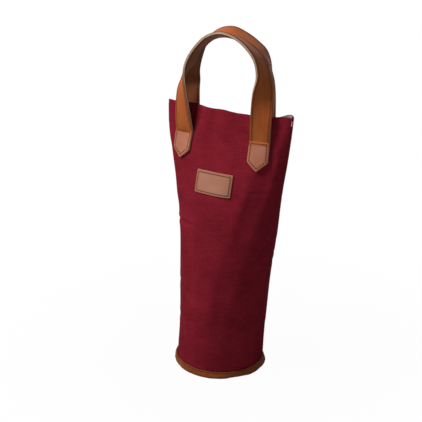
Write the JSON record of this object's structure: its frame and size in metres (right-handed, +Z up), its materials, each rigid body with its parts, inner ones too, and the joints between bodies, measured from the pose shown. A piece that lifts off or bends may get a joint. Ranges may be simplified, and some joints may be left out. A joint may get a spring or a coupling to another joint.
{
  "type": "bottle carrier",
  "caption": "Padded canvas carrier for a bottle, with a round bound base, flat mouth, leather loop handles and a blank leather patch.",
  "frame": {"origin": "on the floor under the middle of the mouth", "axes": "+Z up, the front panel with the patch faces -Y, +X to the right seen from the front"},
  "size_m": [0.186, 0.1286, 0.4665],
  "materials": {
    "canvas": "matt woven canvas",
    "facing": "matt woven canvas",
    "foam": "soft closed-cell foam sheet",
    "lining": "satin coated lining",
    "board": "grey board",
    "binding": "satin",
    "leather": "satin",
    "inner_leather": "matt"
  },
  "bodies": {
    "bag": {"front_panel": "canvas", "back_panel": "canvas", "front_facing": "facing", "back_facing": "facing", "front_foam": "foam", "back_foam": "foam", "front_lining": "lining", "back_lining": "lining", "base_panel": "canvas", "base_board": "board", "base_foam": "foam", "base_lining": "lining", "base_binding": "binding", "leather_patch": "leather", "front_left_tab": "leather", "front_right_tab": "leather", "back_left_tab": "leather", "back_right_tab": "leather"},
    "front_handle": {"front_handle_outer_ply": "leather", "front_handle_inner_ply": "inner_leather"},
    "back_handle": {"back_handle_outer_ply": "leather", "back_handle_inner_ply": "inner_leather"}
  },
  "joints": [
    {"name": "front_handle_fold", "type": "hinge", "parent": "bag", "child": "front_handle", "pos_m": [-0.001, -0.02, 0.3323], "axis": [1, 0, 0], "range_deg": [0, 155]},
    {"name": "back_handle_fold", "type": "hinge", "parent": "bag", "child": "back_handle", "pos_m": [-0.008, 0.0165, 0.3323], "axis": [-1, 0, 0], "range_deg": [0, 155]}
  ]
}
